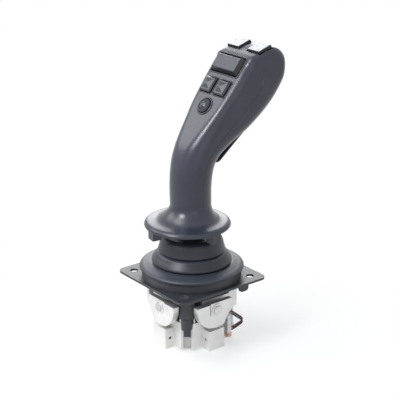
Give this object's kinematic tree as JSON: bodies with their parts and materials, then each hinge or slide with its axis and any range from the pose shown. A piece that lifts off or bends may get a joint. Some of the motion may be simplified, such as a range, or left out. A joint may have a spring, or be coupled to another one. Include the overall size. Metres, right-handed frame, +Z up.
{
  "type": "two-axis joystick controller",
  "caption": "Panel joystick with a lever grip, thumb and top switches, rocking trigger, hand rest, rubber bellows, square mounting plate and an open cast gimbal below.",
  "frame": {"origin": "centre of the mounting holes on the underside of the mounting plate, on the lever's axis", "axes": "+Z up along the lever, +Y forward away from the operator, +X to the operator's right"},
  "size_m": [0.096, 0.1362, 0.2637],
  "materials": {
    "plate_black": "satin black",
    "ring_black": "matte",
    "bellows_rubber": "matte moulded rubber",
    "housing_black": "moulded",
    "base_grey": "milled",
    "cast_silver": "bright anodised",
    "cheek_silver": "bright die cast",
    "pin_steel": "ground",
    "nut_brass": "plain",
    "lead_red": "insulated wire",
    "grip_black": "satin moulded",
    "cap_black": "satin",
    "pad_silver": "silver lacquer"
  },
  "bodies": {
    "root": {"mount_plate": "plate_black", "clamp_ring": "ring_black", "bellows": "bellows_rubber", "housing": "housing_black", "base_block": "base_grey", "bracket_right": "cast_silver", "bracket_left": "cast_silver", "bracket_front": "cast_silver", "bracket_rear": "cast_silver", "plungers": "pin_steel", "plunger_nuts": "nut_brass", "sensor_leads": "lead_red"},
    "cross_bail": {"gimbal_ring": "pin_steel", "cheek_right": "cheek_silver", "cheek_left": "cheek_silver"},
    "sway_bail": {"sway_bow": "pin_steel", "cheek_front": "cheek_silver", "cheek_rear": "cheek_silver"},
    "lever": {"lever_shaft": "pin_steel", "hand_rest": "grip_black", "grip_rear_shell": "grip_black", "grip_front_shell": "grip_black"},
    "thumb_button": {"thumb_button": "cap_black"},
    "select_button_left": {"select_button_left": "cap_black"},
    "select_button_right": {"select_button_right": "cap_black"},
    "thumb_rocker": {"thumb_rocker": "cap_black"},
    "top_switch_left": {"top_switch_left": "pad_silver"},
    "top_switch_right": {"top_switch_right": "pad_silver"},
    "trigger": {"trigger": "cap_black"}
  },
  "joints": [
    {"name": "tilt_fore_aft", "type": "hinge", "parent": "root", "child": "cross_bail", "pos_m": [0, 0, -0.021], "axis": [-1, 0, 0], "range_deg": [-18, 18], "stiffness_Nm_per_rad": 8, "springref_deg": -0.46, "deforming": ["bellows"]},
    {"name": "tilt_side", "type": "hinge", "parent": "cross_bail", "child": "lever", "pos_m": [0, 0, -0.021], "axis": [0, 1, 0], "range_deg": [-18, 18], "stiffness_Nm_per_rad": 8, "deforming": ["bellows"]},
    {"name": "sway_turn", "type": "hinge", "parent": "root", "child": "sway_bail", "pos_m": [0, 0, -0.021], "axis": [0, 1, 0], "range_deg": [-18, 18]},
    {"name": "thumb_press", "type": "slide", "parent": "lever", "child": "thumb_button", "axis": [0, 0.7771, -0.6293], "range_m": [0, 0.002], "stiffness_N_per_m": 500},
    {"name": "select_press_left", "type": "slide", "parent": "lever", "child": "select_button_left", "axis": [0, 0.7771, -0.6293], "range_m": [0, 0.002], "stiffness_N_per_m": 500},
    {"name": "select_press_right", "type": "slide", "parent": "lever", "child": "select_button_right", "axis": [0, 0.7771, -0.6293], "range_m": [0, 0.002], "stiffness_N_per_m": 500},
    {"name": "rocker_tip", "type": "hinge", "parent": "lever", "child": "thumb_rocker", "pos_m": [0, 0.04262, 0.18566], "axis": [1, 0, 0], "range_deg": [-6, 6], "stiffness_Nm_per_rad": 0.4},
    {"name": "top_tip_left", "type": "hinge", "parent": "lever", "child": "top_switch_left", "pos_m": [-0.0135, 0.06484, 0.19855], "axis": [1, 0, 0], "range_deg": [-6, 6], "stiffness_Nm_per_rad": 0.4},
    {"name": "top_tip_right", "type": "hinge", "parent": "lever", "child": "top_switch_right", "pos_m": [0.0135, 0.06484, 0.19855], "axis": [1, 0, 0], "range_deg": [-6, 6], "stiffness_Nm_per_rad": 0.4},
    {"name": "trigger_tip", "type": "hinge", "parent": "lever", "child": "trigger", "pos_m": [0, 0.04356, 0.1317], "axis": [1, 0, 0], "range_deg": [-4, 4], "stiffness_Nm_per_rad": 0.4}
  ],
  "couplings": [
    {"joint": "sway_turn", "follows": "tilt_side", "ratio": 1}
  ]
}
